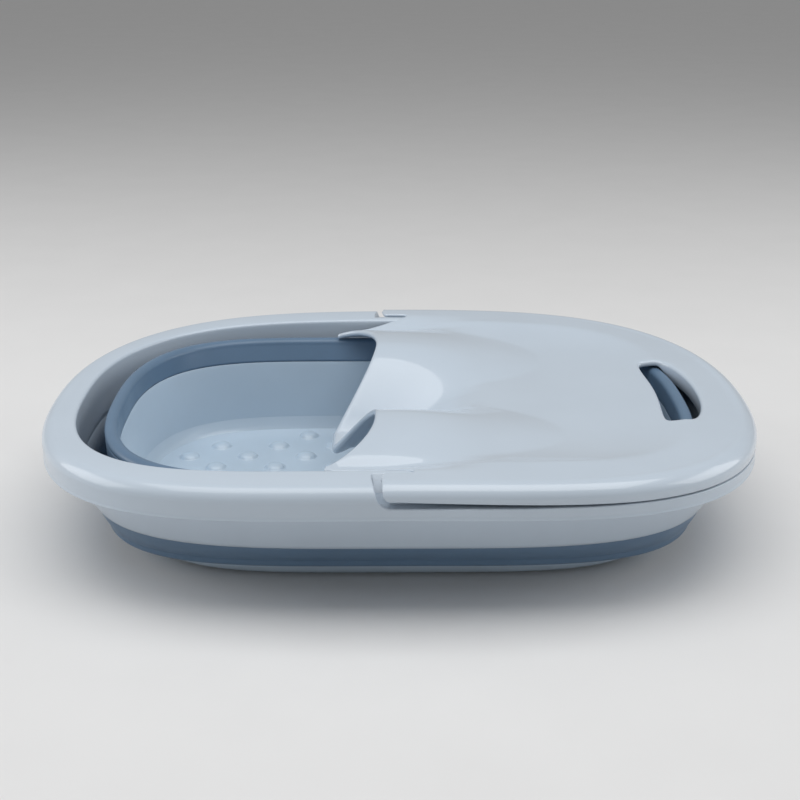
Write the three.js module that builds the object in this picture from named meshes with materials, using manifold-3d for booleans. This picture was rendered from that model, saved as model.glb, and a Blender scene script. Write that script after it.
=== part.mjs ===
// A collapsible foot spa basin with a half lid, folded flat for storage.
// Millimetres, +Z up, origin on the floor under the middle of the basin.
// +X points to the lidded end and +Y to the far long side.
import * as THREE from "three";
import { mergeVertices } from "three/addons/utils/BufferGeometryUtils.js";
import Module from "manifold-3d";

// Driving dimensions
const HALF_LENGTH = 255;
const HALF_WIDTH = 196.5;
const RIM_TOP = 94; // top of the rim at the middle of its long sides
const RIM_DIP = 9; // how much lower the rim lies at its two ends
const SKIRT_DEPTH = 21;
const SKIRT_THICKNESS = 6;
const SKIRT_CORNER = 8; // how far down the rounded corner of the rim reaches
const BAND_LAP = 8; // how far the band reaches up behind the skirt
const WALL = 2.6;
const GAP = 0.4;
const BAND_BOTTOM = 38.8;
const INNER_WALL_LOW = 50; // lower edge of the rim's inner wall, higher at the ends
const INNER_WALL_RISE = 8;
const BELT_WALL = 2.5;
const FOLD_TOP = 83; // crest of the folded belt
const FOLD_SIDE = 79; // where the crest turns down on both sides
const FOLD_LOW = 21;
const FOLD_BOTTOM = 17;
const TUB_EDGE = 66;
const BELT_TOP_DIP = 2; // how much higher the crest and the tub's edge lie at the two ends
const BELT_LOW_DIP = -3;
const BAND_LOW_DIP = -4;
const FLOOR_TOP = 9;
const FLOOR_UNDERSIDE = 6;
const FOOT_RING_BOTTOM = 0.8;
const FOOT_RING_WIDTH = 6;
const FOOT_FLARE = { out: 9, z: 4 }; // the rounding between the foot ring and the tub's side
const WALL_FOOT = 18; // where the tub's wall starts to bend into its floor
const LID_RISE = 2; // the lid stands this much proud of the rim
const LID_DISH = 10;
const DISH = { x: 200, y: 154 }; // the lid's top sinks inside this oval
const LID_SKIRT_DEPTH = 11;
const SKIRT_SEAT = 13.5; // how far down the rim's recess for the lid's skirt reaches
const LID_FRONT = -13.5; // where the lid's skirt starts on both long sides
const SLOT_TIP = 8; // where the raised inner part of the rim top ends
const SLOT_INSET = 25.5;
const ARCH_CENTRE = 80;
const ARCH_TOP = 101;
const ARCH_FRONT = -15;
const ARCH_LENGTH = 128;
const ARCH_HEIGHT = 14.5;
const ARCH_BLEND = { from: -20, to: 70 }; // where the front edge's shape fades into the plate
const INNER_TONGUE = { z: 51, reach: 31, width: 68, power: 1.2 };
const OUTER_TONGUE = { z: 86.4, reach: 34, width: 64, power: 0.6 };
const LID_GRID_X = [
  -60, -50, -42, -34, -26, -18, -9, 0, 12, 26, 42, 60, 80, 100, 125, 150, 175, 200, 225, 260,
];
const LID_GRID_Y = [
  0, 6, 12, 18, 26, 34, 44, 54, 66, 80, 96, 110, 122, 132, 139, 146, 154, 163, 180, 200,
];
const EDGE_SIDES = [0, 6, 12, 18, 26, 38, 52, 66, 80, 96, 110, 122, 132, 139, 144];
const GRIP = { inner: 190, outer: 220, halfLength: 62, bow: 8 };
const BUMP_PITCH = { x: 46.4, y: 22.45, middleGap: 3.9 };
const BUMP_FIELD = { x: 189, y: 128, power: 2.5 };
const BUMP = { radius: 7.5, height: 3.6, sides: 8 };
const PAD = { radius: 11, x: 125, y: 80 };
const STATIONS = 72;

const LID_BLUE = new THREE.Color(0.62, 0.69, 0.75);
const RIM_BLUE = new THREE.Color(0.58, 0.66, 0.73);
const BELT_BLUE = new THREE.Color(0.1, 0.16, 0.23);
const TUB_BLUE = new THREE.Color(0.35, 0.45, 0.55);
const PAD_GREY = new THREE.Color(0.18, 0.2, 0.22);

const wasm = await Module();
wasm.setup();

// Ovals: how far inside the widest outline they lie at the ends and the sides, and the two
// powers of the curve |x/a|^long + |y/b|^wide = 1.
const oval = (end, side, long, wide) => ({ end, side, long, wide });
const grow = (o, inset) => ({ ...o, end: o.end + inset, side: o.side + inset });
const RIM_OUTER = oval(0, 0, 3.5, 2.3);
const RIM_INNER = oval(24.5, 33.5, 3.9, 2.5);
const BAND_SHOULDER = oval(12, 12, 3.5, 2.3); // the ledge under the skirt ends here
const BAND_LOW = oval(36, 33.5, 3.4, 3.1);
const FOLD_OUTER_LOW = oval(44, 50, 3.8, 3.3);
const FOLD_INNER_LOW = oval(49, 54.5, 4.0, 3.2);
const CREST_OUTER = oval(44.5, 44, 5.0, 2.5);
const CREST_INNER = oval(54, 54, 4.9, 2.6);
const TUB_TOP = oval(54.1, 59.9, 4.8, 2.7);
const TUB_LOW = oval(57, 62.5, 5.0, 2.8);
const BUMP_AREA = oval(64, 72, 2.8, 2.8);
const BASE_FOOT = oval(77, 77, 4.6, 2.8);

function mixOval(a, b, t) {
  const mix = (key) => a[key] + (b[key] - a[key]) * t;
  return oval(mix("end"), mix("side"), mix("long"), mix("wide"));
}

const LOWER_CREASE = mixOval(FOLD_OUTER_LOW, FOLD_INNER_LOW, 0.6);
const CREST = mixOval(CREST_OUTER, CREST_INNER, 0.5);

// The point of an oval in the direction of one station, found by halving.
function ovalPoint(o, turn) {
  const a = HALF_LENGTH - o.end;
  const b = HALF_WIDTH - o.side;
  const direction = Math.atan2(HALF_WIDTH * Math.sin(turn), HALF_LENGTH * Math.cos(turn));
  const dx = Math.cos(direction);
  const dy = Math.sin(direction);
  let low = 0;
  let high = a + b;
  for (let i = 0; i < 40; i++) {
    const r = (low + high) / 2;
    const inside = Math.abs((r * dx) / a) ** o.long + Math.abs((r * dy) / b) ** o.wide < 1;
    if (inside) low = r;
    else high = r;
  }
  return [low * dx, low * dy];
}

const sag = (x) => (x / HALF_LENGTH) ** 2;
const rimPlane = (x) => RIM_TOP - RIM_DIP * sag(x);

// One level of a wall: an oval at a height that changes by dip towards the ends.
const level = (o, z, dip = 0) => ({ o, z, dip });
const onRim = (o, drop) => level(o, RIM_TOP - drop, -RIM_DIP);

function levelPoints(l) {
  const points = [];
  for (let i = 0; i < STATIONS; i++) {
    const [x, y] = ovalPoint(l.o, (2 * Math.PI * i) / STATIONS);
    points.push([x, y, l.z + l.dip * sag(x)]);
  }
  return points;
}

function meshOf(points, faces) {
  const geometry = new THREE.BufferGeometry();
  geometry.setAttribute("position", new THREE.Float32BufferAttribute(points.flat(), 3));
  geometry.setIndex(faces.flat());
  return geometry;
}

// Faces between neighbouring rows of points, all rows the same length.
function rowFaces(rows, length, wrap) {
  const faces = [];
  for (const [r, s] of rows) {
    for (let i = 0; i < (wrap ? length : length - 1); i++) {
      const j = (i + 1) % length;
      const [a, b, c, d] = [r * length + i, r * length + j, s * length + j, s * length + i];
      faces.push([a, b, c], [a, c, d]);
    }
  }
  return faces;
}

// A closed ring whose section runs through the levels and back to the first.
function ring(levels) {
  const points = levels.flatMap(levelPoints);
  const rows = levels.map((_, i) => [i, (i + 1) % levels.length]);
  return solidOf(meshOf(points, rowFaces(rows, STATIONS, true)));
}

// A closed bowl: the levels run from the underside's edge round to the floor's edge, and a low
// dome is raised from the floor at each of the places.
function bowl(levels, places) {
  const points = levels.flatMap(levelPoints);
  const rows = levels.slice(1).map((_, i) => [i, i + 1]);
  const faces = rowFaces(rows, STATIONS, true);
  const middle = points.push([0, 0, levels[0].z]) - 1;
  for (let i = 0; i < STATIONS; i++) faces.push([middle, (i + 1) % STATIONS, i]);
  const edge = Array.from({ length: STATIONS }, (_, i) => (levels.length - 1) * STATIONS + i);
  const feet = places.map(([x, y]) => addBump(points, faces, x, y));
  faces.push(...flatFaces(points, edge, feet));
  return solidOf(meshOf(points, faces));
}

// Upward triangles that fill a flat outline around some holes, all given as point numbers.
function flatFaces(points, outline, holes) {
  const flat = (numbers) => numbers.map((n) => new THREE.Vector2(points[n][0], points[n][1]));
  const numbers = [...outline, ...holes.flat()];
  const faces = THREE.ShapeUtils.triangulateShape(flat(outline), holes.map(flat));
  return faces.map((face) => {
    const [p, q, r] = face.map((k) => numbers[k]);
    const [u, v, w] = flat([p, q, r]);
    const turn = (v.x - u.x) * (w.y - u.y) - (v.y - u.y) * (w.x - u.x);
    return turn > 0 ? [p, q, r] : [p, r, q];
  });
}

// Adds one massage bump's points and faces, and returns the point numbers of its foot.
function addBump(points, faces, x, y) {
  const start = points.length;
  for (const [radius, height] of [[BUMP.radius, 0], [BUMP.radius * 0.6, BUMP.height * 0.65]]) {
    for (let i = 0; i < BUMP.sides; i++) {
      const turn = (2 * Math.PI * i) / BUMP.sides;
      points.push([x + radius * Math.cos(turn), y + radius * Math.sin(turn), FLOOR_TOP + height]);
    }
  }
  const apex = points.push([x, y, FLOOR_TOP + BUMP.height]) - 1;
  for (let i = 0; i < BUMP.sides; i++) {
    const j = (i + 1) % BUMP.sides;
    const [a, b, c, d] = [i, j, BUMP.sides + j, BUMP.sides + i].map((k) => start + k);
    faces.push([a, b, c], [a, c, d], [d, c, apex]);
  }
  return Array.from({ length: BUMP.sides }, (_, i) => start + i);
}

// A closed geometry as a manifold solid, turned right side out when it isn't.
function solidOf(geometry) {
  const bare = geometry.clone();
  bare.deleteAttribute("normal");
  bare.deleteAttribute("uv");
  const merged = mergeVertices(bare, 1e-4);
  const vertProperties = new Float32Array(merged.attributes.position.array);
  const triVerts = new Uint32Array(merged.index.array);
  const make = () => new wasm.Manifold(new wasm.Mesh({ numProp: 3, vertProperties, triVerts }));
  const solid = make();
  if (solid.volume() > 0) return solid;
  triVerts.reverse();
  return make();
}

function geometryOf(solid) {
  const mesh = solid.getMesh();
  const geometry = new THREE.BufferGeometry();
  geometry.setAttribute("position", new THREE.BufferAttribute(mesh.vertProperties.slice(), 3));
  geometry.setIndex(new THREE.BufferAttribute(mesh.triVerts.slice(), 1));
  const faceted = geometry.toNonIndexed();
  faceted.computeVertexNormals();
  return faceted;
}

// A plan outline made solid between two heights.
function prism(outline, low, high) {
  const shape = new THREE.Shape(outline.map(([x, y]) => new THREE.Vector2(x, y)));
  const geometry = new THREE.ExtrudeGeometry(shape, { depth: high - low, bevelEnabled: false });
  return solidOf(geometry.translate(0, 0, low));
}

// Everything at x above a plane.
function halfSpace(x) {
  const size = 1000;
  return solidOf(new THREE.BoxGeometry(size, size, size).translate(x + size / 2, 0, 0));
}

const smooth = (a, b, x) => THREE.MathUtils.smoothstep(x, a, b);
const lerp = THREE.MathUtils.lerp;

// Where the outer tongue ends and the lid's side begins.
const LID_FOOT = ARCH_CENTRE + OUTER_TONGUE.width;

// How far up an arch the lid's front edge is: 0 at a tongue, 1 at the crown.
function archFraction(side) {
  const tongue = side < ARCH_CENTRE ? INNER_TONGUE : OUTER_TONGUE;
  const across = Math.min(1, Math.abs(side - ARCH_CENTRE) / tongue.width);
  return { tongue, fraction: (1 - across ** 2) ** tongue.power };
}

function frontHeight(side, plate) {
  const { tongue, fraction } = archFraction(side);
  const arch = lerp(tongue.z, ARCH_TOP, fraction);
  return lerp(arch, plate, smooth(LID_FOOT, LID_FOOT + 20, side));
}

function frontEdge(side) {
  const { tongue, fraction } = archFraction(side);
  return ARCH_FRONT - tongue.reach * (1 - fraction);
}

// The lid's top: a dished plate with a hump behind each arch.
function lidTop(x, y) {
  const side = Math.abs(y);
  const middle = 1 - Math.min(1, (Math.abs(x) / DISH.x) ** 4 + (side / DISH.y) ** 4);
  const plate = rimPlane(x) + LID_RISE - LID_DISH * middle;
  const along = THREE.MathUtils.clamp((x - ARCH_FRONT) / ARCH_LENGTH, 0, 1);
  const half = Math.max(1e-6, archFraction(side).tongue.width * Math.sqrt(1 - along ** 2));
  const across = Math.min(1, Math.abs(side - ARCH_CENTRE) / half);
  const hump = ARCH_HEIGHT * (1 - along) * (1 - across ** 2) ** INNER_TONGUE.power;
  const front = 1 - smooth(ARCH_BLEND.from, ARCH_BLEND.to, x);
  return lerp(plate + hump, frontHeight(side, plate), front);
}

// Half of the lid's plan outline, from the middle tongue to the outer edge.
function lidHalfOutline() {
  const points = EDGE_SIDES.map((side) => [frontEdge(side), side]);
  const slotSide = HALF_WIDTH - SLOT_INSET;
  const rimInside = HALF_WIDTH - RIM_INNER.side - 1.5;
  points.push([frontEdge(LID_FOOT) + 4, LID_FOOT + 4], [SLOT_TIP, rimInside]);
  points.push([SLOT_TIP, slotSide], [LID_FRONT, slotSide]);
  return points;
}

function lidOutline(inset) {
  const half = lidHalfOutline();
  const arc = levelPoints(level(grow(RIM_OUTER, inset), 0))
    .map(([x, y]) => [x, y])
    .filter(([x]) => x > LID_FRONT + 1)
    .sort((a, b) => Math.atan2(b[1], b[0]) - Math.atan2(a[1], a[0]));
  const corner = [LID_FRONT, HALF_WIDTH - inset];
  const mirrored = half.slice(1).reverse();
  return [
    ...half,
    corner,
    ...arc,
    [corner[0], -corner[1]],
    ...mirrored.map(([x, y]) => [x, -y]),
  ];
}

// A slab that follows the lid's top over a grid wider than the lid.
function lidSlab() {
  const xs = LID_GRID_X;
  const ys = [...LID_GRID_Y.slice(1).reverse().map((y) => -y), ...LID_GRID_Y];
  const sheet = (drop) => xs.flatMap((x) => ys.map((y) => [x, y, lidTop(x, y) - drop]));
  const points = [...sheet(0), ...sheet(WALL)];
  const n = ys.length;
  const size = xs.length * n;
  const rows = xs.slice(1).map((_, i) => [i, i + 1]);
  const top = rowFaces(rows, n, false);
  const faces = [...top, ...top.map(([a, b, c]) => [size + a, size + c, size + b])];
  const rim = [];
  for (let i = 0; i < n - 1; i++) rim.push(i);
  for (let i = 0; i < xs.length - 1; i++) rim.push(i * n + n - 1);
  for (let i = n - 1; i > 0; i--) rim.push((xs.length - 1) * n + i);
  for (let i = xs.length - 1; i > 0; i--) rim.push(i * n);
  rim.forEach((a, k) => {
    const b = rim[(k + 1) % rim.length];
    faces.push([b, a, size + a], [b, size + a, size + b]);
  });
  return solidOf(meshOf(points, faces));
}

function gripOutline() {
  const { inner, outer, halfLength, bow } = GRIP;
  const steps = 10;
  const points = [];
  const bend = (y) => bow * (y / halfLength) ** 2;
  for (let i = 0; i <= steps; i++) {
    const y = lerp(-0.94, 0.94, i / steps) * halfLength;
    points.push([outer - bend(y), y]);
  }
  points.push([(inner + outer) / 2 - bow / 2, halfLength]);
  for (let i = steps; i >= 0; i--) {
    const y = lerp(-0.94, 0.94, i / steps) * halfLength;
    points.push([inner - bend(y) * 0.75, y]);
  }
  points.push([(inner + outer) / 2 - bow / 2, -halfLength]);
  return points;
}

function halfLid() {
  const slab = lidSlab().intersect(prism(lidOutline(5), 0, 200));
  const skirt = ring([
    onRim(grow(RIM_OUTER, 7), -LID_RISE + 0.1),
    onRim(grow(RIM_OUTER, 2.5), -LID_RISE + 0.8),
    onRim(RIM_OUTER, 3),
    onRim(RIM_OUTER, LID_SKIRT_DEPTH),
    onRim(grow(RIM_OUTER, WALL), LID_SKIRT_DEPTH),
    onRim(grow(RIM_OUTER, WALL), WALL - LID_RISE),
    onRim(grow(RIM_OUTER, 7), WALL - LID_RISE),
  ]).intersect(halfSpace(LID_FRONT));
  return slab.add(skirt).subtract(prism(gripOutline(), 0, 200));
}

// The rim frame: a flat top with an outer skirt and an inner wall, recessed to seat the lid.
function rimFrame() {
  const inside = grow(RIM_INNER, -WALL);
  const frame = ring([
    onRim(grow(RIM_OUTER, 1.5), SKIRT_DEPTH),
    onRim(RIM_OUTER, SKIRT_CORNER),
    onRim(grow(RIM_OUTER, 2.5), 1.8),
    onRim(mixOval(RIM_OUTER, RIM_INNER, 0.3), 0),
    onRim(RIM_INNER, 0.4),
    level(grow(RIM_INNER, 1), INNER_WALL_LOW, INNER_WALL_RISE),
    level(grow(inside, 1), INNER_WALL_LOW, INNER_WALL_RISE),
    onRim(inside, 4),
    onRim(grow(RIM_OUTER, SKIRT_THICKNESS), 4),
    onRim(grow(RIM_OUTER, SKIRT_THICKNESS), SKIRT_DEPTH),
  ]);
  const seat = WALL - LID_RISE + GAP;
  const outerSeat = ringBlock(grow(RIM_OUTER, -6), slotOval(0), seat).intersect(
    halfSpace(LID_FRONT - GAP),
  );
  const innerSeat = ringBlock(slotOval(-1), grow(RIM_INNER, 8), seat).intersect(
    halfSpace(SLOT_TIP - GAP),
  );
  const skirtSeat = ringBlock(
    grow(RIM_OUTER, -6),
    grow(RIM_OUTER, WALL + GAP),
    SKIRT_SEAT,
  ).intersect(halfSpace(LID_FRONT - GAP));
  return frame.subtract(outerSeat).subtract(innerSeat).subtract(skirtSeat);
}

// The line on the rim top that parts its raised inner strip from the lid.
function slotOval(inset) {
  return grow(mixOval(RIM_OUTER, RIM_INNER, (SLOT_INSET + GAP) / RIM_INNER.side), inset);
}

// A block over the rim between two ovals, from a drop below its top to well above it.
function ringBlock(outer, inner, drop) {
  const above = -10;
  return ring([onRim(outer, drop), onRim(outer, above), onRim(inner, above), onRim(inner, drop)]);
}

// The sloping band under the skirt, which carries the belt.
function rimBand() {
  const top = grow(RIM_OUTER, SKIRT_THICKNESS + GAP);
  const inside = grow(top, WALL);
  return ring([
    onRim(top, SKIRT_DEPTH - BAND_LAP),
    onRim(top, SKIRT_DEPTH + 0.6),
    onRim(BAND_SHOULDER, SKIRT_DEPTH + 1.4),
    level(BAND_LOW, BAND_BOTTOM, BAND_LOW_DIP),
    level(grow(BAND_LOW, WALL), BAND_BOTTOM, BAND_LOW_DIP),
    onRim(grow(BAND_SHOULDER, WALL), SKIRT_DEPTH),
    onRim(inside, SKIRT_DEPTH - WALL),
    onRim(inside, SKIRT_DEPTH - BAND_LAP),
  ]);
}

// The belt's outer fold hangs from the band to the lower crease.
function beltOuter() {
  const bend = mixOval(FOLD_OUTER_LOW, FOLD_INNER_LOW, 0.25);
  return ring([
    level(grow(BAND_LOW, 0.1), BAND_BOTTOM - GAP, BAND_LOW_DIP),
    level(FOLD_OUTER_LOW, FOLD_LOW + 1, BELT_LOW_DIP),
    level(bend, FOLD_BOTTOM + 1.2, BELT_LOW_DIP),
    level(LOWER_CREASE, FOLD_BOTTOM, BELT_LOW_DIP),
    level(LOWER_CREASE, FOLD_BOTTOM + BELT_WALL, BELT_LOW_DIP),
    level(grow(FOLD_OUTER_LOW, BELT_WALL), FOLD_LOW + 1.5, BELT_LOW_DIP),
    level(grow(BAND_LOW, 0.1 + BELT_WALL), BAND_BOTTOM - GAP, BAND_LOW_DIP),
  ]);
}

// The belt's middle fold climbs from the lower crease to the crest.
function beltMiddle() {
  const crease = grow(LOWER_CREASE, GAP);
  return ring([
    level(crease, FOLD_BOTTOM, BELT_LOW_DIP),
    level(grow(FOLD_INNER_LOW, BELT_WALL * 0.8), FOLD_BOTTOM + 1.2, BELT_LOW_DIP),
    level(grow(FOLD_INNER_LOW, BELT_WALL), FOLD_LOW, BELT_LOW_DIP),
    level(grow(CREST_OUTER, BELT_WALL), FOLD_SIDE, BELT_TOP_DIP),
    level(CREST, FOLD_TOP - BELT_WALL, BELT_TOP_DIP),
    level(CREST, FOLD_TOP, BELT_TOP_DIP),
    level(grow(CREST_OUTER, 1.2), FOLD_TOP - 1.2, BELT_TOP_DIP),
    level(CREST_OUTER, FOLD_SIDE, BELT_TOP_DIP),
    level(FOLD_INNER_LOW, FOLD_LOW, BELT_LOW_DIP),
    level(crease, FOLD_BOTTOM + BELT_WALL, BELT_LOW_DIP),
  ]);
}

// The belt's inner fold drops from the crest to the edge of the tub.
function beltInner() {
  const crest = grow(CREST, GAP);
  return ring([
    level(crest, FOLD_TOP, BELT_TOP_DIP),
    level(crest, FOLD_TOP - BELT_WALL, BELT_TOP_DIP),
    level(grow(CREST_INNER, -BELT_WALL), FOLD_SIDE, BELT_TOP_DIP),
    level(grow(TUB_TOP, -BELT_WALL), TUB_EDGE + GAP, BELT_TOP_DIP),
    level(TUB_TOP, TUB_EDGE + GAP, BELT_TOP_DIP),
    level(CREST_INNER, FOLD_SIDE, BELT_TOP_DIP),
    level(grow(CREST_INNER, -1.2), FOLD_TOP - 1.2, BELT_TOP_DIP),
  ]);
}

// Bumps stand in staggered rows inside an oval field.
function bumpPlaces() {
  const places = [];
  for (let row = -5; row <= 5; row++) {
    const shift = row % 2 === 0 ? 0 : 0.5;
    for (let column = -5; column <= 5; column++) {
      const steps = column + shift;
      const x = steps * BUMP_PITCH.x + Math.sign(steps) * BUMP_PITCH.middleGap;
      const y = row * BUMP_PITCH.y;
      const across = (Math.abs(x) / BUMP_FIELD.x) ** BUMP_FIELD.power;
      const deep = (Math.abs(y) / BUMP_FIELD.y) ** BUMP_FIELD.power;
      if (across + deep < 1) places.push([x, y]);
    }
  }
  return places;
}

function baseTub() {
  const outside = (o) => grow(o, -WALL - 0.2);
  return bowl(
    [
      level(grow(BASE_FOOT, FOOT_RING_WIDTH + 3), FLOOR_UNDERSIDE),
      level(grow(BASE_FOOT, FOOT_RING_WIDTH), FOOT_RING_BOTTOM),
      level(BASE_FOOT, FOOT_RING_BOTTOM),
      level(grow(BASE_FOOT, -FOOT_FLARE.out), FOOT_FLARE.z),
      level(mixOval(TUB_LOW, BASE_FOOT, 0.2), 12),
      level(outside(TUB_LOW), 26),
      level(outside(TUB_TOP), TUB_EDGE, BELT_TOP_DIP),
      level(TUB_TOP, TUB_EDGE, BELT_TOP_DIP),
      level(TUB_LOW, WALL_FOOT),
      level(grow(TUB_LOW, 1.5), FLOOR_TOP + 2),
      level(grow(TUB_LOW, 5), FLOOR_TOP),
      level(BUMP_AREA, FLOOR_TOP),
    ],
    bumpPlaces(),
  );
}

function antislipPad(x, y) {
  const height = FLOOR_UNDERSIDE - GAP;
  const profile = [
    [0, 0],
    [PAD.radius - 1, 0],
    [PAD.radius, 1],
    [PAD.radius, height],
    [0, height],
  ].map(([r, z]) => new THREE.Vector2(r, z));
  return solidOf(new THREE.LatheGeometry(profile, 20).rotateX(Math.PI / 2).translate(x, y, 0));
}

const basin = new THREE.Group();

function addPart(parent, name, solid, color, roughness) {
  const material = new THREE.MeshStandardMaterial({ color, roughness, metalness: 0 });
  const mesh = new THREE.Mesh(geometryOf(solid), material);
  mesh.name = name;
  parent.add(mesh);
}

const base = new THREE.Group();
addPart(base, "base_tub", baseTub(), TUB_BLUE, 0.45);
addPart(base, "belt_inner_fold", beltInner(), BELT_BLUE, 0.6);
addPart(base, "belt_middle_fold", beltMiddle(), BELT_BLUE, 0.6);
for (const [end, x] of [["open_end", -PAD.x], ["lid_end", PAD.x]]) {
  for (const [side, y] of [["near", -PAD.y], ["far", PAD.y]]) {
    addPart(base, `antislip_pad_${end}_${side}`, antislipPad(x, y), PAD_GREY, 0.8);
  }
}

const rim = new THREE.Group();
addPart(rim, "rim_frame", rimFrame(), RIM_BLUE, 0.35);
addPart(rim, "rim_band", rimBand(), RIM_BLUE, 0.35);
addPart(rim, "belt_outer_fold", beltOuter(), BELT_BLUE, 0.6);

const lid = new THREE.Group();
addPart(lid, "half_lid", halfLid(), LID_BLUE, 0.3);

rim.add(lid);
basin.add(base, rim);

export default basin;
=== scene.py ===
"""Looks for a collapsible foot spa basin with a half lid, folded flat.

Every shape is worked out in millimetres in the part's own frame (+X towards the lidded end, +Z up)
and turned into metres when its mesh is made.
"""

import math
from collections import namedtuple

import bpy
import numpy as np
from mathutils import Matrix, Vector
from mathutils.geometry import delaunay_2d_cdt


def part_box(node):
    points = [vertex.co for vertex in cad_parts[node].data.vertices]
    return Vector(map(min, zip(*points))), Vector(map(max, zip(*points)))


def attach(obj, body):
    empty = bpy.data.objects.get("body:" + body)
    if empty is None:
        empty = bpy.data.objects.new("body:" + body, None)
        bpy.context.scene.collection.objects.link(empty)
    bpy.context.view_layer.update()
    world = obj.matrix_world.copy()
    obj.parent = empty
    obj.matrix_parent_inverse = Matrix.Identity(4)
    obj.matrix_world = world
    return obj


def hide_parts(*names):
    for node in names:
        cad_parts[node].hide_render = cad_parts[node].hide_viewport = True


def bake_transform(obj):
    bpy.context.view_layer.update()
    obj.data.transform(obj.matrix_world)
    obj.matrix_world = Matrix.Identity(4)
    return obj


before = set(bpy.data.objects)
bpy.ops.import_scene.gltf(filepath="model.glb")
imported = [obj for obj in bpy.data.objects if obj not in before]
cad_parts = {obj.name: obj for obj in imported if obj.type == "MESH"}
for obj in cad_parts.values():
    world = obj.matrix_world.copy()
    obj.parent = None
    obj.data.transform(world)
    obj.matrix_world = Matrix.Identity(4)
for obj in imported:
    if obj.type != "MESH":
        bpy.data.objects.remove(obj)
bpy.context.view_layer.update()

MM = 0.001

# Driving sizes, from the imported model
RIM_LOW, RIM_HIGH = (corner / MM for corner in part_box("rim_frame"))
HALF_LENGTH = -RIM_LOW.x
HALF_WIDTH = RIM_HIGH.y
RIM_TOP = RIM_HIGH.z
ARCH_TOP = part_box("half_lid")[1].z / MM
FOLD_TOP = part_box("belt_middle_fold")[1].z / MM - 1.3
FOLD_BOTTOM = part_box("belt_middle_fold")[0].z / MM + 1.9

# Heights and depths
RIM_DIP = 9
SKIRT_DEPTH = 21
WALL = 2.6
BAND_BOTTOM = 38.8
INNER_WALL_LOW = 45
INNER_WALL_RISE = 7.5
BELT_WALL = 2.5
FOLD_SIDE = 79
FOLD_LOW = 21
BAND_LOW_DIP = -4
BELT_TOP_DIP = 2
BELT_LOW_DIP = -3
TUB_EDGE = 66
FLOOR_TOP = 9
FLOOR_UNDERSIDE = 6
FLOOR_FILLET = 4
FOOT_RING_BOTTOM = 0.8
FOOT_RING_WIDTH = 6
LID_RISE = 2
LID_DISH = 10
DISH_X = 200
DISH_Y = 154
LID_NOSE = -12  # where the lid's skirt starts on both long sides
SLOT_IN = 25.5  # how far in from the rim's outside the slot in the lid lies
SLOT_IN_SIDE = 174
SLOT_TIP = 8  # where the rim's finger in that slot ends
SEAT_DROP = 12.2  # how far the rim sinks under the lid
SEAT_INSET = 7.5
RIM_CUT = -15.5  # where the rim's recess for the lid starts
CUT_SLANT = 0.235
CUT_SPLAY = 0.085
CUT_ROUND = 8
CUT_EDGE = 0.9
LID_ROLL = (12, 9)
RIM_ROLL = (9, 9)
ARCH_CENTRE = 80
ARCH_FRONT = -15
ARCH_LENGTH = 128
ARCH_HEIGHT = 14.5
ARCH_BLEND = (-20, 70)
WING_END = 171
GRIP = (186.5, 221, 66, 8.5)  # inner and outer side, half length and bow of the hand hole
HOLE_ROLL = 2.6
HOLE_HANG = 13  # how deep the hand hole's outer wall hangs
LIP_CROWN = 4.8  # thickness of the lid's front lip at the top of an arch
LIP_TONGUE = 7.5  # at the middle tongue
LIP_SIDE = 4.0  # at the outer tongues and along the wings
LIP_LENGTH = 12
BUMP_PITCH = (46.4, 22.45)
BUMP_GAP = 3.9
BUMP_RADIUS = 7.9
BUMP_DOME = 4.1
BUMP_SUNK = 0.4  # how deep the dome's lowest point would lie under the floor
BUMP_FLARE = [(9.2, -0.15), (8.6, 0.05), (8.0, 0.35)]  # radius and height where a bump meets the floor
BUMP_FIELD = (189, 128, 2.5)
PAD_RADIUS = 11

Tongue = namedtuple("Tongue", "z reach width power")
INNER_TONGUE = Tongue(51, 31, 68, 1.2)
OUTER_TONGUE = Tongue(87.2, 34, 64, 0.6)
LID_FOOT = 144  # where the outer tongue ends and the wing begins

# The lid's plan from the outer tongue to the tip of the slot, and round the slot's end
WING = [(-43, 147.5), (-34, 150), (-24, 152.6), (-14, 156.2), (-4, 160.3), (3, 163.4), (7.2, 166.4)]
SLOT_END = [(9.2, 169.4), (8.4, 172), (5.5, 173.6), (-3, 174)]

# Ovals: how far inside the widest outline they lie at the ends and sides, and their two powers
Oval = namedtuple("Oval", "end side long wide")
RIM_OUTER = Oval(0, 0, 3.5, 2.3)
RIM_INNER = Oval(24.5, 33.5, 3.9, 2.5)
BAND_SHOULDER = Oval(12, 12, 3.5, 2.3)
BAND_LOW = Oval(36, 33.5, 3.4, 3.1)
FOLD_OUTER_LOW = Oval(44, 50, 3.8, 3.3)
FOLD_INNER_LOW = Oval(49, 54.5, 4.0, 3.2)
CREST_OUTER = Oval(44.5, 44, 5.0, 2.5)
CREST_INNER = Oval(54, 54, 4.9, 2.6)
TUB_TOP = Oval(54.1, 59.9, 4.8, 2.7)
TUB_LOW = Oval(57, 62.5, 5.0, 2.8)
BASE_FOOT = Oval(77, 77, 4.6, 2.8)

# Colours, as a screen shows them
LID_BLUE = (0.745, 0.795, 0.845)
RIM_BLUE = (0.745, 0.795, 0.845)
BELT_BLUE = (0.365, 0.465, 0.565)
TUB_BLUE = (0.75, 0.82, 0.88)
PAD_GREY = (0.3, 0.32, 0.34)
FLOOR_WHITE = (0.87, 0.87, 0.87)

# The camera
CAMERA_DISTANCE = 1065.5
CAMERA_ELEVATION = 19.9
CAMERA_AZIMUTH = -0.6
CAMERA_ROLL = 0.1
CAMERA_TARGET = (0.6, 0, 81.3)
CAMERA_LENS = 64.96
CAMERA_SENSOR = 36


def grow(oval, inset):
    return oval._replace(end=oval.end + inset, side=oval.side + inset)


def mix_oval(a, b, t):
    return Oval(*(p + (q - p) * t for p, q in zip(a, b)))


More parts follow.
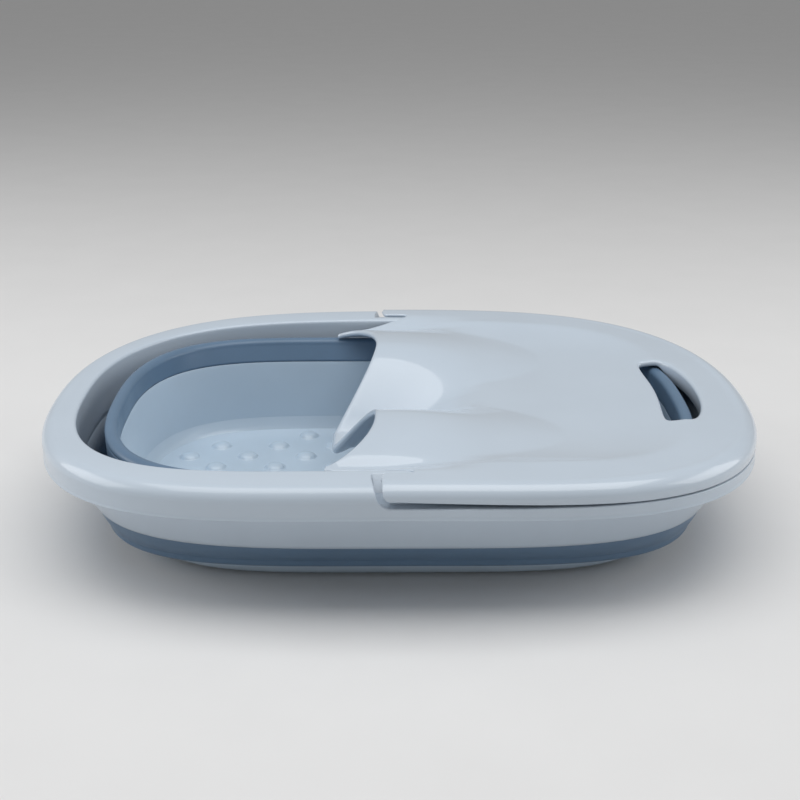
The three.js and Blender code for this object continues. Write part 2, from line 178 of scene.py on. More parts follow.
def smooth(low, high, x):
    t = np.clip((np.asarray(x, float) - low) / (high - low), 0, 1)
    return t * t * (3 - 2 * t)


def lerp(a, b, t):
    return a + (b - a) * t


def oval_points(oval, turns):
    """Points of an oval in the direction of each turn, found by halving."""
    a = HALF_LENGTH - oval.end
    b = HALF_WIDTH - oval.side
    direction = np.arctan2(HALF_WIDTH * np.sin(turns), HALF_LENGTH * np.cos(turns))
    dx, dy = np.cos(direction), np.sin(direction)
    low = np.zeros_like(turns)
    high = np.full_like(turns, a + b)
    for _ in range(36):
        r = (low + high) / 2
        inside = np.abs(r * dx / a) ** oval.long + np.abs(r * dy / b) ** oval.wide < 1
        low = np.where(inside, r, low)
        high = np.where(inside, high, r)
    return low * dx, low * dy


def sag(x):
    return (x / HALF_LENGTH) ** 2


def rim_plane(x):
    return RIM_TOP - RIM_DIP * sag(x)


Level = namedtuple("Level", "oval z dip")


def on_rim(oval, drop):
    return Level(oval, RIM_TOP - drop, -RIM_DIP)


def level_points(level, turns):
    x, y = oval_points(level.oval, turns)
    return np.stack([x, y, level.z + level.dip * sag(x)], -1)


def even_turns(count):
    return np.linspace(0, 2 * math.pi, count, endpoint=False)


# Meshes


def mesh_object(name, points, faces, material):
    mesh = bpy.data.meshes.new(name)
    mesh.from_pydata([tuple(p) for p in np.asarray(points) * MM], [], faces)
    mesh.validate()
    mesh.materials.append(material)
    mesh.shade_smooth()
    piece = bpy.data.objects.new(name, mesh)
    bpy.context.scene.collection.objects.link(piece)
    return piece


def grid_faces(rows, columns, close_rows=False, start=0):
    """Faces between neighbouring rows of points, each row closed on itself."""
    faces = []
    for r in range(rows if close_rows else rows - 1):
        s = (r + 1) % rows
        for i in range(columns):
            j = (i + 1) % columns
            corners = (r * columns + i, r * columns + j, s * columns + j, s * columns + i)
            faces.append(tuple(start + k for k in corners))
    return faces


def ring_object(name, levels, material, turns):
    """A closed ring whose section runs through the levels and back to the first."""
    points = np.concatenate([level_points(level, turns) for level in levels])
    return mesh_object(name, points, grid_faces(len(levels), len(turns), True), material)


def face_outwards(piece):
    """Turns every face the same way, outwards."""
    bpy.context.view_layer.objects.active = piece
    piece.select_set(True)
    bpy.ops.object.mode_set(mode="EDIT")
    bpy.ops.mesh.select_all(action="SELECT")
    bpy.ops.mesh.normals_make_consistent(inside=False)
    bpy.ops.object.mode_set(mode="OBJECT")
    piece.select_set(False)


# Materials


def linear(colour):
    return [c / 12.92 if c <= 0.04045 else ((c + 0.055) / 1.055) ** 2.4 for c in colour] + [1.0]


def moulded(name, colour, roughness, grain, grain_depth, mottle=0.03, coat=0.0):
    """A moulded surface: fine grain, faint cloudy colour and uneven gloss."""
    material = bpy.data.materials.new(name)
    material.use_nodes = True
    nodes, links = material.node_tree.nodes, material.node_tree.links
    shader = nodes["Principled BSDF"]
    shader.inputs["Coat Weight"].default_value = coat
    shader.inputs["Coat Roughness"].default_value = 0.06
    where = nodes.new("ShaderNodeTexCoord")

    def noise(scale, detail):
        node = nodes.new("ShaderNodeTexNoise")
        node.inputs["Scale"].default_value = scale
        node.inputs["Detail"].default_value = detail
        links.new(where.outputs["Object"], node.inputs["Vector"])
        return node.outputs["Fac"]

    def spread(source, low, high):
        node = nodes.new("ShaderNodeMapRange")
        node.inputs["From Min"].default_value = 0.3
        node.inputs["From Max"].default_value = 0.7
        node.inputs["To Min"].default_value = low
        node.inputs["To Max"].default_value = high
        links.new(source, node.inputs["Value"])
        return node.outputs["Result"]

    shade = nodes.new("ShaderNodeMix")
    shade.data_type = "RGBA"
    shade.inputs["A"].default_value = linear([c * (1 - mottle) for c in colour])
    shade.inputs["B"].default_value = linear([min(1, c * (1 + mottle)) for c in colour])
    links.new(spread(noise(14, 3), 0, 1), shade.inputs["Factor"])
    links.new(shade.outputs["Result"], shader.inputs["Base Color"])
    gloss = spread(noise(45, 4), roughness - 0.03, roughness + 0.04)
    links.new(gloss, shader.inputs["Roughness"])
    bump = nodes.new("ShaderNodeBump")
    bump.inputs["Strength"].default_value = 0.25
    bump.inputs["Distance"].default_value = grain_depth
    links.new(noise(grain, 2), bump.inputs["Height"])
    links.new(bump.outputs["Normal"], shader.inputs["Normal"])
    return material


LID_PLASTIC = moulded("lid_plastic", LID_BLUE, 0.34, 1500, 0.00001, 0.008, 0.8)
RIM_PLASTIC = moulded("rim_plastic", RIM_BLUE, 0.36, 1500, 0.00001, 0.008, 0.5)
TUB_PLASTIC = moulded("tub_plastic", TUB_BLUE, 0.36, 1300, 0.00002, 0.012, 0.5)
BELT_RUBBER = moulded("belt_rubber", BELT_BLUE, 0.36, 1800, 0.00003, 0.02)
PAD_RUBBER = moulded("pad_rubber", PAD_GREY, 0.7, 1600, 0.0001, 0.03)


# The rim


def lid_skirt_drop(x):
    """How far below the rim's top the lower edge of the lid's skirt lies."""
    return 8.7 + 2.75 * np.clip(np.asarray(x, float) / 150, 0, 1) ** 0.7


def seat_drop(x):
    """How far below the rim's top the recess for the lid's skirt ends."""
    return 13.4 - 1.3 * np.clip(np.asarray(x, float) / 150, 0, 1)


def arc(inset, drop, wide, deep, steps):
    """(inset, drop) along a quarter turn that starts upright at the outside and ends level."""
    pairs = []
    for turn in np.radians(np.linspace(0.0, 90.0, steps)):
        pairs.append((inset + wide * (1 - math.cos(turn)), drop + deep * (1 - math.sin(turn))))
    return pairs


def rim_levels():
    """The rim's section as (oval, drop below the rim plane), from under the skirt round the top."""
    outside = [(6, SKIRT_DEPTH), (2.2, SKIRT_DEPTH + 0.3), (0.6, SKIRT_DEPTH), (0.1, SKIRT_DEPTH - 0.5)]
    outside.append((0.2, SKIRT_DEPTH - 0.9))
    outside += [(0.9 * (drop - 9) / 11.3, drop) for drop in np.arange(19, 9.1, -0.5)]
    outside += arc(0, 0, *RIM_ROLL, 12)
    levels = [(grow(RIM_OUTER, inset), drop) for inset, drop in outside]
    top_start = grow(RIM_OUTER, RIM_ROLL[0])
    top_end = grow(RIM_INNER, -2.5)
    for t in (0.08, 0.2, 0.35, 0.5, 0.65, 0.735, 0.765, 0.86, 0.94):
        levels.append((mix_oval(top_start, top_end, t), -0.25 * math.sin(math.pi * t)))
    for turn in np.radians(np.linspace(0, 90, 6)):
        levels.append((grow(RIM_INNER, -2.5 + 2.5 * math.sin(turn)), 2.5 * (1 - math.cos(turn))))
    return levels


def recess_share(points, insets, drops):
    """How far each point of the rim is sunk, 0 to 1, so that the lid sits in its lidded half."""
    x = points[..., 0]
    z = points[..., 2]
    drop = drops[:, None]
    inset = insets[:, None]
    start = RIM_CUT - CUT_SLANT * (z - rim_plane(x) + 6.4) - CUT_SPLAY * inset
    qx = np.maximum(start + CUT_ROUND - x, 0)
    qz = np.maximum(drop - (seat_drop(x) - CUT_ROUND), 0)
    outer = CUT_ROUND - np.hypot(qx, qz)
    finger = x - SLOT_TIP
    return np.where(inset < SLOT_IN, smooth(0, CUT_EDGE, outer), smooth(0, CUT_EDGE, finger))


def rim_top_rows(turns):
    """The rim's skirt and top, sunk where the lid sits."""
    full, sunk, insets, drops = [], [], [], []
    for oval, drop in rim_levels():
        inset = oval.side
        seat = grow(oval, max(SEAT_INSET - inset, 0))
        full.append(level_points(on_rim(oval, drop), turns))
        sunk.append(level_points(on_rim(seat, max(drop, SEAT_DROP)), turns))
        insets.append(inset)
        drops.append(drop)
    share = recess_share(np.stack(full), np.array(insets), np.array(drops))
    return lerp(np.stack(full), np.stack(sunk), share[..., None])


def rim_inner_wall(turns):
    rows = []
    for t in np.linspace(0.06, 1, 10):
        x, y = oval_points(grow(RIM_INNER, t), turns)
        low = INNER_WALL_LOW + 1 + INNER_WALL_RISE * sag(x)
        rows.append(np.stack([x, y, lerp(rim_plane(x) - 2.5, low, t)], -1))
    return rows


def rim_underside(turns):
    """The hidden side, from the inner wall's lower edge back to the skirt."""
    inside = grow(RIM_INNER, -WALL)
    return [
        level_points(Level(RIM_INNER, INNER_WALL_LOW, INNER_WALL_RISE), turns),
        level_points(Level(grow(inside, 1), INNER_WALL_LOW + 0.8, INNER_WALL_RISE), turns),
        level_points(on_rim(inside, SEAT_DROP + 3), turns),
        level_points(on_rim(grow(RIM_OUTER, SEAT_INSET + WALL), SEAT_DROP + 3), turns),
        level_points(on_rim(grow(RIM_OUTER, 7.4), SKIRT_DEPTH), turns),
    ]


def rim_shell(turns):
    rows = [*rim_top_rows(turns), *rim_inner_wall(turns), *rim_underside(turns)]
    faces = grid_faces(len(rows), len(turns), True)
    rim = mesh_object("rim_shell", np.concatenate(rows), faces, RIM_PLASTIC)
    face_outwards(rim)
    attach(rim, "rim")
    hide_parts("rim_frame")


def cut_turns():
    """Stations round the rim, close together where the lid's recess starts."""
    turns = set(np.round(even_turns(260), 6))
    for x in np.arange(-23, 14, 0.5):
        side = math.acos(x / HALF_LENGTH)
        turns.add(round(side, 6))
        turns.add(round(2 * math.pi - side, 6))
    return np.array(sorted(turns))


# The lid


def arch_fraction(side):
    """How far up an arch the lid's front edge is: 0 at a tongue, 1 at the crown."""
    inner = side < ARCH_CENTRE
    width = np.where(inner, INNER_TONGUE.width, OUTER_TONGUE.width)
    power = np.where(inner, INNER_TONGUE.power, OUTER_TONGUE.power)
    across = np.minimum(1, np.abs(side - ARCH_CENTRE) / width)
    return (1 - across**2) ** power


def front_edge(side):
    reach = np.where(side < ARCH_CENTRE, INNER_TONGUE.reach, OUTER_TONGUE.reach)
    return ARCH_FRONT - reach * (1 - arch_fraction(side))


def lid_top(x, y):
    """The lid's top: a dished plate with a hump behind each arch."""
    side = np.abs(y)
    middle = 1 - np.minimum(1, (np.abs(x) / DISH_X) ** 4 + (side / DISH_Y) ** 4)
    plate = rim_plane(x) + LID_RISE - LID_DISH * middle
    along = np.clip((x - ARCH_FRONT) / ARCH_LENGTH, 0, 1)
    width = np.where(side < ARCH_CENTRE, INNER_TONGUE.width, OUTER_TONGUE.width)
    half = np.maximum(1e-6, width * np.sqrt(1 - along**2))
    across = np.minimum(1, np.abs(side - ARCH_CENTRE) / half)
    hump = ARCH_HEIGHT * (1 - along) * (1 - across**2) ** INNER_TONGUE.power
    tongue_z = np.where(side < ARCH_CENTRE, INNER_TONGUE.z, OUTER_TONGUE.z)
    arch = lerp(tongue_z, ARCH_TOP, arch_fraction(side))
    edge = lerp(arch, plate, smooth(LID_FOOT, WING_END, side))
    front = 1 - smooth(*ARCH_BLEND, x)
    return lerp(plate + hump, edge, front)


def lid_thickness(x, y):
    """Thin plate that thickens into the lip along its front edge, most at the tongues."""
    side = np.abs(y)
    tongue = np.where(side < ARCH_CENTRE, LIP_TONGUE, LIP_SIDE)
    lip = lerp(tongue, LIP_CROWN, smooth(0, 0.8, arch_fraction(side)))
    return lerp(lip, WALL, smooth(0, LIP_LENGTH, x - front_edge(side)))


def spaced(points, step):
    """The same path with points a step apart."""
    path = np.asarray(points, float)
    length = np.concatenate([[0], np.cumsum(np.hypot(*np.diff(path, axis=0).T))])
    count = max(2, int(round(length[-1] / step)) + 1)
    at = np.linspace(0, length[-1], count)
    return np.stack([np.interp(at, length, path[:, k]) for k in (0, 1)], -1)


def front_path():
    """The lid's front edge on the far side, from the middle tongue to the nose."""
    sides = np.linspace(0, 1, 400) ** 1.4 * LID_FOOT
    arch = np.stack([front_edge(sides), sides], -1)
    inner_corner = [(LID_NOSE + 1.8, SLOT_IN_SIDE), (LID_NOSE, HALF_WIDTH - LID_ROLL[0])]
    return spaced([*arch, *WING, *SLOT_END, *inner_corner], 1.6)


def side_turns():
    """Stations along the lid's outer edge from its far nose round the end to its near nose."""
    start = math.acos(LID_NOSE / HALF_LENGTH)
    by_nose = np.cumsum([0, 0.0015, 0.003, 0.006, 0.01])
    between = np.linspace(start - 0.04, -start + 0.04, 210)
    return np.concatenate([start - by_nose, between, (-start + by_nose)[::-1]])


def roll_section(bottom, steps):
    """(inset, drop) round the lid's rolled edge and skirt, from its top to its underside."""
    wide, deep = LID_ROLL
    outer = arc(0, 0, wide, deep, steps)[::-1]
    outer += [(0, lerp(deep, bottom - 1.3, t)) for t in (0.34, 0.67, 1.0)]
    outer += [(0.4, bottom - 0.4), (1.3, bottom)]
    inner = [(2.2, bottom - 0.4), (WALL, bottom - 1.3)]
    inner += [(WALL, lerp(bottom - 1.3, deep + 1, t)) for t in (0.34, 0.67, 1.0)]
    inner += arc(WALL, WALL, wide - WALL, deep - 1, steps)[1:]
    return outer, inner


def lid_hole():
    """The hand hole's outline: a bean whose long sides follow the lid's end."""
    inner, outer, half, bow = GRIP
    across = (outer - inner) / 2
    points = []
    for turn in np.linspace(0, 2 * math.pi, 200):
        wide = math.copysign(abs(math.cos(turn)) ** 0.45, math.cos(turn))
        along = math.copysign(abs(math.sin(turn)) ** 0.75, math.sin(turn))
        points.append(((inner + outer) / 2 + across * wide - bow * along**2, half * along))
    return spaced(points, 1.6)[:-1]


def hex_points(low, high, step):
    points = []
    for r, y in enumerate(np.arange(low[1], high[1], step * math.sqrt(3) / 2)):
        for x in np.arange(low[0] + (r % 2) * step / 2, high[0], step):
            points.append((x, y))
    return np.array(points)


def inside_loop(points, loop):
    x, y = points[:, 0][:, None], points[:, 1][:, None]
    a, b = loop, np.roll(loop, -1, axis=0)
    crosses = (a[:, 1] > y) != (b[:, 1] > y)
    rise = np.where(b[:, 1] == a[:, 1], 1e-9, b[:, 1] - a[:, 1])
    at = a[:, 0] + (y - a[:, 1]) / rise * (b[:, 0] - a[:, 0])
    return ((crosses & (x < at)).sum(1) % 2) == 1


def distance_to_loop(points, loop):
    best = np.full(len(points), 1e9)
    for p in loop:
        best = np.minimum(best, np.hypot(points[:, 0] - p[0], points[:, 1] - p[1]))
    return best


def left_normals(loop):
    """Unit normals to the left of a loop: away from the lid, which every loop keeps on its right."""
    ahead = np.roll(loop, -1, axis=0) - np.roll(loop, 1, axis=0)
    normal = np.stack([-ahead[:, 1], ahead[:, 0]], -1)
    normal /= np.maximum(1e-9, np.hypot(*normal.T))[:, None]
    return normal


def lid_sheet(loops):
    """Triangles that fill the lid's plan, with its outline and hole as given."""
    outline, hole = loops
    fine = hex_points((-60, -190), (120, 190), 3.2)
    coarse = hex_points((120, -190), (250, 190), 5.0)
    filler = np.concatenate([fine, coarse])
    filler = filler[inside_loop(filler, outline) & ~inside_loop(filler, hole)]
    filler = filler[distance_to_loop(filler, outline) > 1.7]
    filler = filler[distance_to_loop(filler, hole) > 1.7]
    flat = np.concatenate([outline, hole, filler])
    edges = []
    start = 0
    for loop in loops:
        edges += [(start + i, start + (i + 1) % len(loop)) for i in range(len(loop))]
        start += len(loop)
    vectors = [Vector(p) for p in flat]
    found, _, faces, origin, _, _ = delaunay_2d_cdt(vectors, edges, [], 0, 1e-6)
    points = np.array([(p.x, p.y) for p in found])
    number = {old: new for new, olds in enumerate(origin) for old in olds}
    middle = np.array([points[list(face)].mean(0) for face in faces])
    keep = inside_loop(middle, outline) & ~inside_loop(middle, hole)
    triangles = [tuple(face) for face, wanted in zip(faces, keep) if wanted]
    rings = []
    start = 0
    for loop in loops:
        rings.append([number[start + i] for i in range(len(loop))])
        start += len(loop)
    return points, triangles, rings


def lid_shell():
    front = front_path()
    near_front = front[::-1] * (1, -1)
    turns = side_turns()
    x, y = oval_points(grow(RIM_OUTER, LID_ROLL[0]), turns)
    side = np.stack([x, y], -1)
    # clockwise from the middle tongue: the far front edge, round the end, the near front edge
    outline = np.concatenate([front[:-1], side, near_front[1:-1]])
    skirted = np.zeros(len(outline), bool)
    skirted[len(front) - 1 : len(front) - 1 + len(side)] = True
    hole = lid_hole()
    points, triangles, (edge_ring, hole_ring) = lid_sheet((outline, hole))
    top_z = lid_top(points[:, 0], points[:, 1])
    thick = lid_thickness(points[:, 0], points[:, 1])
    top = np.column_stack([points, top_z])
    under = np.column_stack([points, top_z - thick])
    count = len(points)
    vertices = [*top, *under]
    faces = list(triangles)
    faces += [(count + a, count + c, count + b) for a, b, c in triangles]
    outer_shape, inner_shape = roll_section(lid_skirt_drop(0) + LID_RISE, 9)
    steps = len(outer_shape) + len(inner_shape)
    normals = left_normals(outline)
    columns = []
    first_skirt = len(front) - 1
    for k, vertex in enumerate(edge_ring):
        if skirted[k]:
            column = skirt_column(turns[k - first_skirt], top_z[vertex])
        else:
            column = lip_column(top[vertex], thick[vertex], normals[k], steps)
        columns.append([vertex] + [len(vertices) + i for i in range(len(column))] + [count + vertex])
        vertices += column
    faces += strip_faces(columns)
    hole_normals = left_normals(hole)
    columns = []
    for k, vertex in enumerate(hole_ring):
        column = hole_column(top[vertex], hole_normals[k])
        columns.append([vertex] + [len(vertices) + i for i in range(len(column))] + [count + vertex])
        vertices += column
    faces += strip_faces(columns)
    lid = mesh_object("lid_shell", vertices, faces, LID_PLASTIC)
    face_outwards(lid)
    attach(lid, "lid")
    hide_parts("half_lid")


def strip_faces(columns):
    faces = []
    for k, column in enumerate(columns):
        beside = columns[(k + 1) % len(columns)]
        for i in range(len(column) - 1):
            faces.append((column[i], beside[i], beside[i + 1], column[i + 1]))
    return faces


def lip_column(edge, thickness, normal, steps):
    """Points round the full-round front edge, from its top to its underside, ends left out."""
    radius = thickness / 2
    column = []
    for turn in np.linspace(0, math.pi, steps)[1:-1]:
        out = radius * math.sin(turn)
        drop = radius * (1 - math.cos(turn))
        column.append(np.array([edge[0] + normal[0] * out, edge[1] + normal[1] * out, edge[2] - drop]))
    return column


def skirt_column(turn, top_z):
    """Points round the rolled edge and skirt at one station, ends left out."""
    edge_x = oval_points(RIM_OUTER, np.array([turn]))[0][0]
    bottom = float(lid_skirt_drop(edge_x)) + LID_RISE
    outer, inner = roll_section(bottom, 9)
    nose = max(0.0, 1 - (edge_x - LID_NOSE) / 16)
    column = []
    for place, (inset, drop) in enumerate((outer + inner)[1:-1]):
        is_outer = place < len(outer) - 1
        x, y = oval_points(grow(RIM_OUTER, inset), np.array([turn]))
        lean = nose_shift(drop, bottom) if is_outer else nose_shift(drop, bottom) + WALL
        z = top_z - drop - RIM_DIP * (sag(x[0]) - sag(edge_x))
        column.append(np.array([x[0] + nose * lean, y[0], z]))
    return column


def nose_shift(drop, bottom):
    """How far the skirt's front end stands back at a drop: it is rounded at its lower corner."""
    radius = 6.5
    low = max(0.0, drop - (bottom - radius))
    return radius - math.sqrt(max(0.0, radius**2 - low**2))


def hole_column(edge, normal):
    """Points of the lip that rolls down into the hand hole, ends left out."""
    hang = lerp(WALL + 1.6, HOLE_HANG, float(smooth(202, 216, edge[0])))
    section = []
    for turn in np.radians(np.linspace(0, 90, 7))[1:]:
        section.append((HOLE_ROLL * math.sin(turn), HOLE_ROLL * (1 - math.cos(turn))))
    section += [(HOLE_ROLL, hang - 0.8), (2.2, hang), (1.2, hang), (0.8, hang - 0.6), (0.6, WALL + 0.8)]
    return [edge + np.array([normal[0] * out, normal[1] * out, -drop]) for out, drop in section]


# The band and the belt


def rim_band_shell(turns):
    top = grow(RIM_OUTER, 6.4)
    low = BAND_LOW
    levels = [on_rim(top, SKIRT_DEPTH - 5), on_rim(top, SKIRT_DEPTH + 0.1)]
    levels.append(on_rim(grow(BAND_SHOULDER, -1.5), SKIRT_DEPTH + 0.6))
    shoulder = on_rim(BAND_SHOULDER, SKIRT_DEPTH + 1.4)
    for t in np.linspace(0, 1, 16):
        z = lerp(shoulder.z, BAND_BOTTOM, t)
        levels.append(Level(mix_oval(BAND_SHOULDER, low, t), z, lerp(-RIM_DIP, BAND_LOW_DIP, t)))
    levels += [
        Level(grow(low, WALL), BAND_BOTTOM, BAND_LOW_DIP),
        on_rim(grow(BAND_SHOULDER, WALL), SKIRT_DEPTH),
        on_rim(grow(top, WALL), SKIRT_DEPTH - WALL),
        on_rim(grow(top, WALL), SKIRT_DEPTH - 5),
    ]
    band = ring_object("rim_band_shell", levels, RIM_PLASTIC, turns)
    face_outwards(band)
    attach(band, "rim")
    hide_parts("rim_band")


CREASE = mix_oval(FOLD_OUTER_LOW, FOLD_INNER_LOW, 0.6)
CREST = mix_oval(CREST_OUTER, CREST_INNER, 0.5)


def belt_outer(turns):
    """The outer fold: from under the band down to the lower crease."""
    levels = []
    start = grow(BAND_LOW, 0.4)
    for t in np.linspace(0, 1, 14):
        oval = mix_oval(start, FOLD_OUTER_LOW, t)
        bulge = grow(oval, -0.5 * math.sin(math.pi * t))
        dip = lerp(BAND_LOW_DIP, BELT_LOW_DIP, t)
        levels.append(Level(bulge, lerp(BAND_BOTTOM - 0.1, FOLD_LOW + 1, t), dip))
    for turn in np.radians(np.linspace(20, 90, 6)):
        oval = mix_oval(FOLD_OUTER_LOW, CREASE, 1 - math.cos(turn))
        z = lerp(FOLD_LOW + 1, FOLD_BOTTOM, math.sin(turn))
        levels.append(Level(oval, z, BELT_LOW_DIP))
    levels.append(Level(CREASE, FOLD_BOTTOM + BELT_WALL, BELT_LOW_DIP))
    levels.append(Level(grow(FOLD_OUTER_LOW, BELT_WALL), FOLD_LOW + 2, BELT_LOW_DIP))
    levels.append(Level(grow(start, BELT_WALL), BAND_BOTTOM - 0.1, BAND_LOW_DIP))
    piece = ring_object("belt_outer", levels, BELT_RUBBER, turns)
    face_outwards(piece)
    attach(piece, "rim")
    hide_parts("belt_outer_fold")


def belt_middle(turns):
    """The middle fold, from the lower crease up to under the crest; the real one turns over as the rim
    rises, but this piece is tied to no body.
    """
    crease = grow(CREASE, 0.3)
    low_in = grow(FOLD_INNER_LOW, BELT_WALL)
    levels = [Level(crease, FOLD_BOTTOM, BELT_LOW_DIP)]
    levels.append(Level(grow(low_in, -0.6), FOLD_BOTTOM + 1, BELT_LOW_DIP))
    inner_top = grow(CREST_OUTER, BELT_WALL)
    for t in np.linspace(0, 1, 26):
        dip = lerp(BELT_LOW_DIP, BELT_TOP_DIP, t)
        levels.append(Level(mix_oval(low_in, inner_top, t), lerp(FOLD_LOW, FOLD_SIDE - 1, t), dip))
    for t in np.linspace(1, 0, 26):
        dip = lerp(BELT_LOW_DIP, BELT_TOP_DIP, t)
        levels.append(Level(mix_oval(FOLD_INNER_LOW, CREST_OUTER, t), lerp(FOLD_LOW, FOLD_SIDE - 1, t), dip))
    levels.append(Level(crease, FOLD_BOTTOM + BELT_WALL, BELT_LOW_DIP))
    piece = ring_object("belt_middle", levels, BELT_RUBBER, turns)
    face_outwards(piece)
    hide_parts("belt_middle_fold")
    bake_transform(piece)


def belt_inner(turns):
    """The rounded crest and the inner fold that drops to the tub's edge."""
    levels = [Level(grow(CREST_OUTER, BELT_WALL - 0.2), FOLD_SIDE - 1, BELT_TOP_DIP)]
    levels.append(Level(CREST_OUTER, FOLD_SIDE - 1, BELT_TOP_DIP))
    height = FOLD_TOP - FOLD_SIDE
    for turn in np.radians(np.linspace(0, 180, 17)):
        oval = mix_oval(CREST_OUTER, CREST_INNER, 0.5 - 0.5 * math.cos(turn))
        levels.append(Level(oval, FOLD_SIDE + height * math.sin(turn), BELT_TOP_DIP))
    for t in np.linspace(0.1, 1, 8):
        oval = mix_oval(CREST_INNER, TUB_TOP, t)
        levels.append(Level(oval, lerp(FOLD_SIDE, TUB_EDGE + 0.02, t), BELT_TOP_DIP))
    levels.append(Level(grow(TUB_TOP, -BELT_WALL), TUB_EDGE + 0.02, BELT_TOP_DIP))
    levels.append(Level(grow(CREST_INNER, -BELT_WALL), FOLD_SIDE, BELT_TOP_DIP))
    levels.append(Level(CREST, FOLD_TOP - BELT_WALL, BELT_TOP_DIP))
    piece = ring_object("belt_inner", levels, BELT_RUBBER, turns)
    face_outwards(piece)
    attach(piece, "base")
    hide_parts("belt_inner_fold")


# The tub


def bump_places():
    places = []
    for row in range(-5, 6):
        for column in range(-5, 6):
            steps = column + (row % 2) / 2
            x = steps * BUMP_PITCH[0] + np.sign(steps) * BUMP_GAP
            y = row * BUMP_PITCH[1]
            wide, deep, power = BUMP_FIELD
            if (abs(x) / wide) ** power + (abs(y) / deep) ** power < 1:
                places.append((x, y))
    return places


def bump_mesh(x, y, start):
    """A low round dome, flared where it meets the floor."""
    profile = list(BUMP_FLARE)
    for turn in np.radians(np.linspace(72, 8, 9)):
        profile.append((BUMP_RADIUS * math.sin(turn), BUMP_DOME * math.cos(turn) - BUMP_SUNK))
    sides = 28
    points = []
    for radius, height in profile:
        for turn in even_turns(sides):
            points.append((x + radius * math.cos(turn), y + radius * math.sin(turn), FLOOR_TOP + height))
    faces = grid_faces(len(profile), sides, start=start)
    points.append((x, y, FLOOR_TOP + BUMP_DOME - BUMP_SUNK))
    last = start + (len(profile) - 1) * sides
    faces += [(last + i, last + (i + 1) % sides, start + len(points) - 1) for i in range(sides)]
    return points, faces


def tub_outside_levels():
    """From the middle of the underside over the foot ring and up the outside to the edge."""
    foot_in = grow(BASE_FOOT, FOOT_RING_WIDTH)
    levels = [Level(grow(foot_in, 60), FLOOR_UNDERSIDE, 0), Level(grow(foot_in, 3), FLOOR_UNDERSIDE, 0)]
    levels += [Level(grow(foot_in, 0.8), FOOT_RING_BOTTOM + 1, 0), Level(foot_in, FOOT_RING_BOTTOM, 0)]
    levels += [Level(grow(BASE_FOOT, 1), FOOT_RING_BOTTOM, 0), Level(grow(BASE_FOOT, -1.2), 1.3, 0)]
    for t in np.linspace(0, 1, 8):
        oval = mix_oval(grow(BASE_FOOT, -4), grow(TUB_LOW, 2), t)
        levels.append(Level(oval, 2.2 + 10 * t**1.6, 0))
    levels.append(Level(grow(TUB_LOW, -WALL - 0.2), 26, 0))
    levels.append(Level(grow(TUB_TOP, -WALL - 0.2), TUB_EDGE - 0.6, BELT_TOP_DIP))
    levels.append(Level(grow(TUB_TOP, -2.2), TUB_EDGE, BELT_TOP_DIP))
    return levels


def tub_inside_levels():
    """From the edge down the inside and over the fillet onto the floor."""
    levels = [Level(grow(TUB_TOP, -0.2), TUB_EDGE, BELT_TOP_DIP)]
    levels.append(Level(TUB_TOP, TUB_EDGE - 0.3, BELT_TOP_DIP))
    fillet_top = FLOOR_TOP + FLOOR_FILLET
    for t in np.linspace(0, 1, 14):
        oval = mix_oval(grow(TUB_TOP, 0.1), TUB_LOW, t)
        levels.append(Level(oval, lerp(TUB_EDGE - 0.8, fillet_top, t), BELT_TOP_DIP * (1 - t)))
    for turn in np.radians(np.linspace(12, 90, 8)):
        inset = FLOOR_FILLET * (1 - math.cos(turn))
        levels.append(Level(grow(TUB_LOW, inset), fillet_top - FLOOR_FILLET * math.sin(turn), 0))
    for inset in (6, 11, 20, 30, 45, 65, 90):
        levels.append(Level(grow(TUB_LOW, inset), FLOOR_TOP, 0))
    return levels


def tub_shell(turns):
    levels = tub_outside_levels() + tub_inside_levels()
    points = [p for level in levels for p in level_points(level, turns)]
    faces = grid_faces(len(levels), len(turns))
    count = len(turns)
    points += [(0, 0, FLOOR_UNDERSIDE), (0, 0, FLOOR_TOP)]
    under, floor = len(points) - 2, len(points) - 1
    last = (len(levels) - 1) * count
    for i in range(count):
        j = (i + 1) % count
        faces += [(under, j, i), (floor, last + i, last + j)]
    for x, y in bump_places():
        bump_points, bump_faces = bump_mesh(x, y, len(points))
        points += bump_points
        faces += bump_faces
    tub = mesh_object("tub_shell", points, faces, TUB_PLASTIC)
    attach(tub, "base")
    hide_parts("base_tub")


def antislip_pad(node):
    """A round pad with two grooves in its tread."""
    low, high = (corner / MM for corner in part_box(node))
    x, y = (low.x + high.x) / 2, (low.y + high.y) / 2
    top = high.z
    profile = [(0, 0), (3.4, 0), (3.8, 0.9), (5.0, 0.9), (5.4, 0), (7.2, 0), (7.6, 0.9), (8.8, 0.9)]
    profile += [(9.2, 0), (10.2, 0), (10.8, 0.4), (PAD_RADIUS, 1.2), (PAD_RADIUS, top - 0.6)]
    profile += [(PAD_RADIUS - 0.5, top), (0, top)]
    sides = 48
    points = []
    for radius, height in profile:
        for turn in even_turns(sides):
            spread = max(radius, 0.001)
            points.append((x + spread * math.cos(turn), y + spread * math.sin(turn), height))
    faces = grid_faces(len(profile), sides)
    faces.append(tuple(range(sides))[::-1])
    faces.append(tuple(len(points) - sides + i for i in range(sides)))
    pad = mesh_object(node + "_tread", points, faces, PAD_RUBBER)
    face_outwards(pad)
    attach(pad, "base")
    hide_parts(node)


# The camera, the floor and the light


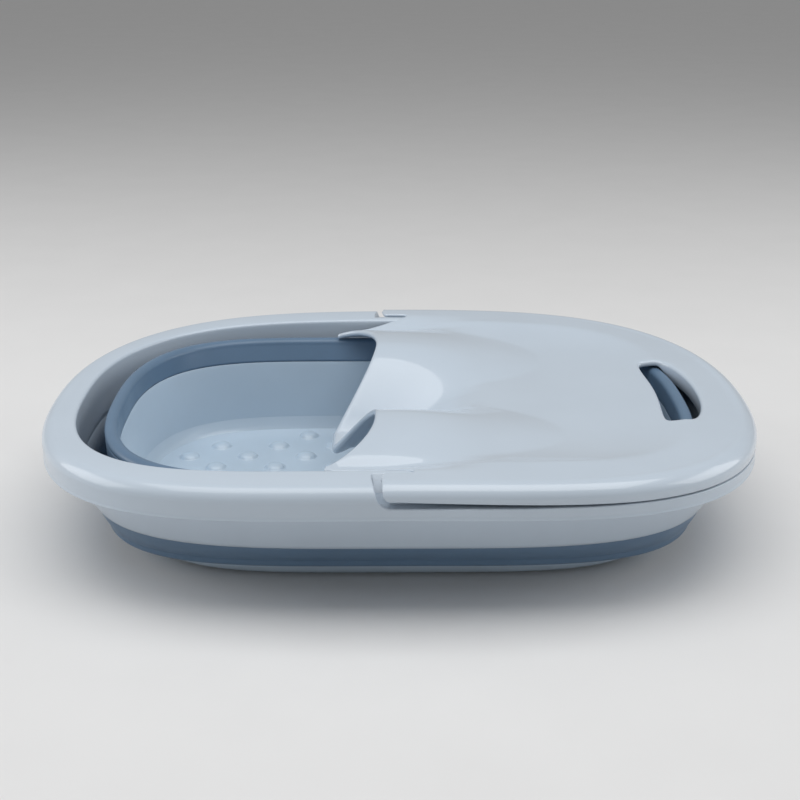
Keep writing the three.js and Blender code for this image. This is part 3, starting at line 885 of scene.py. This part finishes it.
def make_camera():
    target = Vector(CAMERA_TARGET) * MM
    e, a, r = (math.radians(angle) for angle in (CAMERA_ELEVATION, CAMERA_AZIMUTH, CAMERA_ROLL))
    back = Vector((math.sin(a) * math.cos(e), -math.cos(a) * math.cos(e), math.sin(e)))
    right = Vector((math.cos(a), math.sin(a), 0))
    up = back.cross(right)
    data = bpy.data.cameras.new("camera")
    data.sensor_width = CAMERA_SENSOR
    data.lens = CAMERA_LENS
    camera = bpy.data.objects.new("camera", data)
    bpy.context.scene.collection.objects.link(camera)
    across = right * math.cos(r) + up * math.sin(r)
    upward = up * math.cos(r) - right * math.sin(r)
    turn = Matrix((across, upward, back)).transposed().to_4x4()
    camera.matrix_world = Matrix.Translation(target + back * CAMERA_DISTANCE * MM) @ turn
    bpy.context.scene.camera = camera


def area_light(name, place, aim, size, power):
    data = bpy.data.lights.new(name, "AREA")
    data.shape = "RECTANGLE"
    data.size, data.size_y = size
    data.energy = power
    light = bpy.data.objects.new(name, data)
    light.location = place
    light.rotation_euler = (Vector(aim) - Vector(place)).to_track_quat("-Z", "Y").to_euler()
    bpy.context.scene.collection.objects.link(light)


def make_stage():
    reach = 9000
    corners = [(-reach, -reach, 0), (reach, -reach, 0), (reach, reach, 0), (-reach, reach, 0)]
    paint = moulded("floor_paint", FLOOR_WHITE, 0.9, 200, 0.00002, 0.004)
    floor = mesh_object("floor", corners, [(0, 1, 2, 3)], paint)
    world = bpy.data.worlds.new("studio")
    world.use_nodes = True
    background = world.node_tree.nodes["Background"]
    background.inputs["Color"].default_value = (1, 1, 1, 1)
    background.inputs["Strength"].default_value = 0.33
    bpy.context.scene.world = world
    area_light("overhead", (0, -0.15, 1.4), (0, -0.1, 0), (2.0, 1.1), 15)
    area_light("left_wall", (-1.7, 0.1, 0.75), (0, 0, 0.05), (1.4, 1.0), 10)
    area_light("right_wall", (1.7, 0.1, 0.75), (0, 0, 0.05), (1.4, 1.0), 8)


make_camera()
RIM_TURNS = cut_turns()
TURNS = even_turns(288)
rim_shell(RIM_TURNS)
rim_band_shell(TURNS)
belt_outer(TURNS)
belt_middle(TURNS)
belt_inner(TURNS)
tub_shell(TURNS)
lid_shell()
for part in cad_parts:
    if part.startswith("antislip_pad"):
        antislip_pad(part)
make_stage()
bpy.context.scene.view_settings.view_transform = "Standard"
